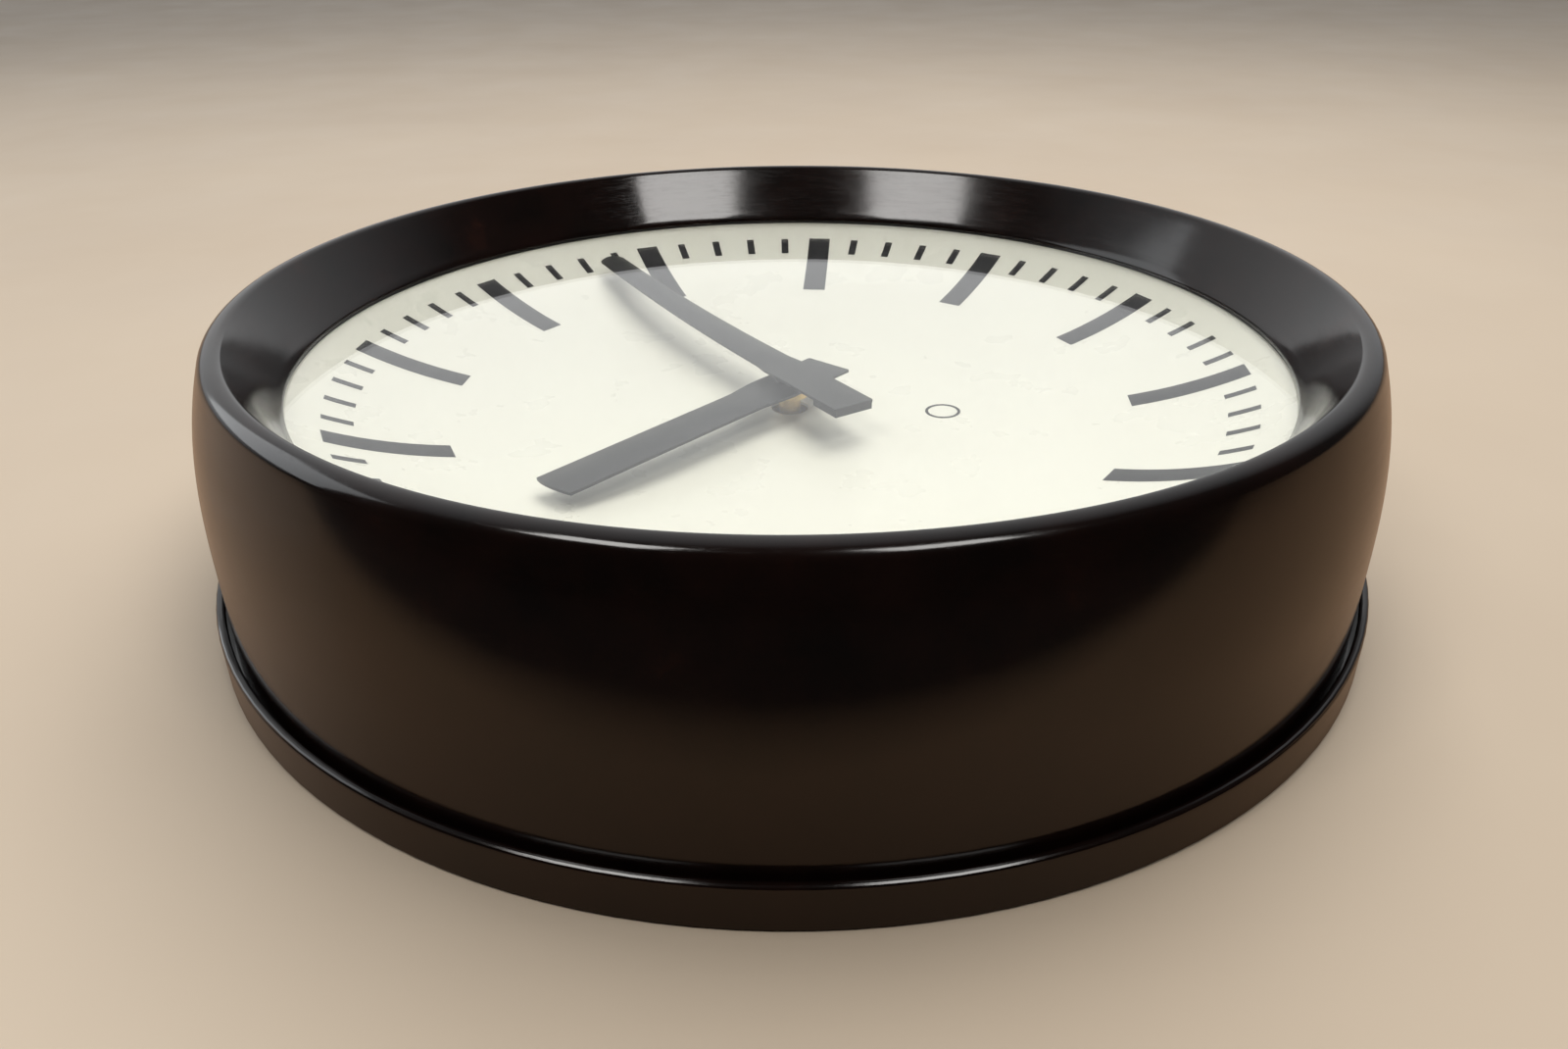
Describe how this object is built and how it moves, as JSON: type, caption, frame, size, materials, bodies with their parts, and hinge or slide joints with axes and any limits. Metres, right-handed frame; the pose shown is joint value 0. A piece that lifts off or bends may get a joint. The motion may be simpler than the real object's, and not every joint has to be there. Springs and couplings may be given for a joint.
{
  "type": "wall clock",
  "caption": "Round wall clock with a glossy dark moulded case, flat glass, dished cream dial, bar marks, two black hands and a pulse-driven gear movement.",
  "frame": {"origin": "centre of the foot ring at its resting face, with the clock lying on its back", "axes": "+Z out of the dial, +Y towards twelve o'clock, +X towards three o'clock"},
  "size_m": [0.4199, 0.42, 0.101],
  "materials": {
    "moulded_base": "glossy compression moulding, very dark brown",
    "moulded_case": "glossy compression moulding, very dark brown with faint mottling",
    "zinc_steel": "satin zinc plate",
    "black_rubber": "matt",
    "brass": "satin",
    "bush_brass": "polished",
    "clear_glass": "polished flat glass",
    "cream_enamel": "glossy stoved enamel, cream",
    "dial_ink": "satin black print",
    "stator_steel": "laminated, oiled",
    "bobbin_resin": "matt",
    "copper_wire": "enamelled copper",
    "terminal_resin": "satin moulding",
    "lead_sleeve": "soft sleeve",
    "black_hand": "semi-gloss black paint",
    "magnet": "ground"
  },
  "bodies": {
    "root": {"back_plate": "moulded_base", "hanger_plate": "zinc_steel", "hanger_rivets": "zinc_steel", "cable_grommet": "black_rubber", "case_shell": "moulded_case", "case_inserts": "brass", "case_screws": "zinc_steel", "front_glass": "clear_glass", "glass_seal": "black_rubber", "retaining_clips": "zinc_steel", "clip_screws": "zinc_steel", "dial": "cream_enamel", "dial_marks": "dial_ink", "dial_feet": "brass", "dial_nuts": "brass", "front_plate": "brass", "rear_plate": "brass", "pillars": "brass", "pillar_screws": "zinc_steel", "plate_bushes": "bush_brass", "stator_yoke": "stator_steel", "stator_spacers": "brass", "stator_screws": "zinc_steel", "coil_bobbin": "bobbin_resin", "coil_winding": "copper_wire", "minute_wheel_stud": "zinc_steel", "terminal_block": "terminal_resin", "terminal_screws": "brass", "lead_wires": "lead_sleeve"},
    "minute": {"centre_arbor": "zinc_steel", "centre_wheel": "brass", "cannon_pinion": "zinc_steel", "minute_hand": "black_hand", "minute_hand_boss": "black_hand", "minute_counterweight": "black_hand"},
    "hour": {"hour_wheel": "brass", "hour_hand": "black_hand", "hour_hand_boss": "brass"},
    "motion_wheel": {"minute_wheel": "brass", "minute_pinion": "zinc_steel"},
    "intermediate": {"intermediate_arbor": "zinc_steel", "intermediate_wheel": "brass", "intermediate_pinion": "zinc_steel"},
    "rotor": {"rotor_arbor": "zinc_steel", "rotor_magnet": "magnet", "rotor_pinion": "zinc_steel"}
  },
  "joints": [
    {"name": "minute_hand_turn", "type": "hinge", "parent": "root", "child": "minute", "pos_m": [0, 0, 0], "axis": [0, 0, -1], "continuous": true},
    {"name": "hour_hand_turn", "type": "hinge", "parent": "root", "child": "hour", "pos_m": [0, 0, 0], "axis": [0, 0, -1], "continuous": true},
    {"name": "minute_wheel_turn", "type": "hinge", "parent": "root", "child": "motion_wheel", "pos_m": [0.0192, 0, 0], "axis": [0, 0, -1], "continuous": true},
    {"name": "intermediate_turn", "type": "hinge", "parent": "root", "child": "intermediate", "pos_m": [0, -0.0288, 0], "axis": [0, 0, -1], "continuous": true},
    {"name": "rotor_turn", "type": "hinge", "parent": "root", "child": "rotor", "pos_m": [0, -0.0463, 0], "axis": [0, 0, -1], "continuous": true}
  ],
  "couplings": [
    {"joint": "hour_hand_turn", "follows": "minute_hand_turn", "ratio": 0.083333},
    {"joint": "minute_wheel_turn", "follows": "minute_hand_turn", "ratio": -0.33333},
    {"joint": "intermediate_turn", "follows": "minute_hand_turn", "ratio": -5},
    {"joint": "rotor_turn", "follows": "minute_hand_turn", "ratio": 30}
  ]
}
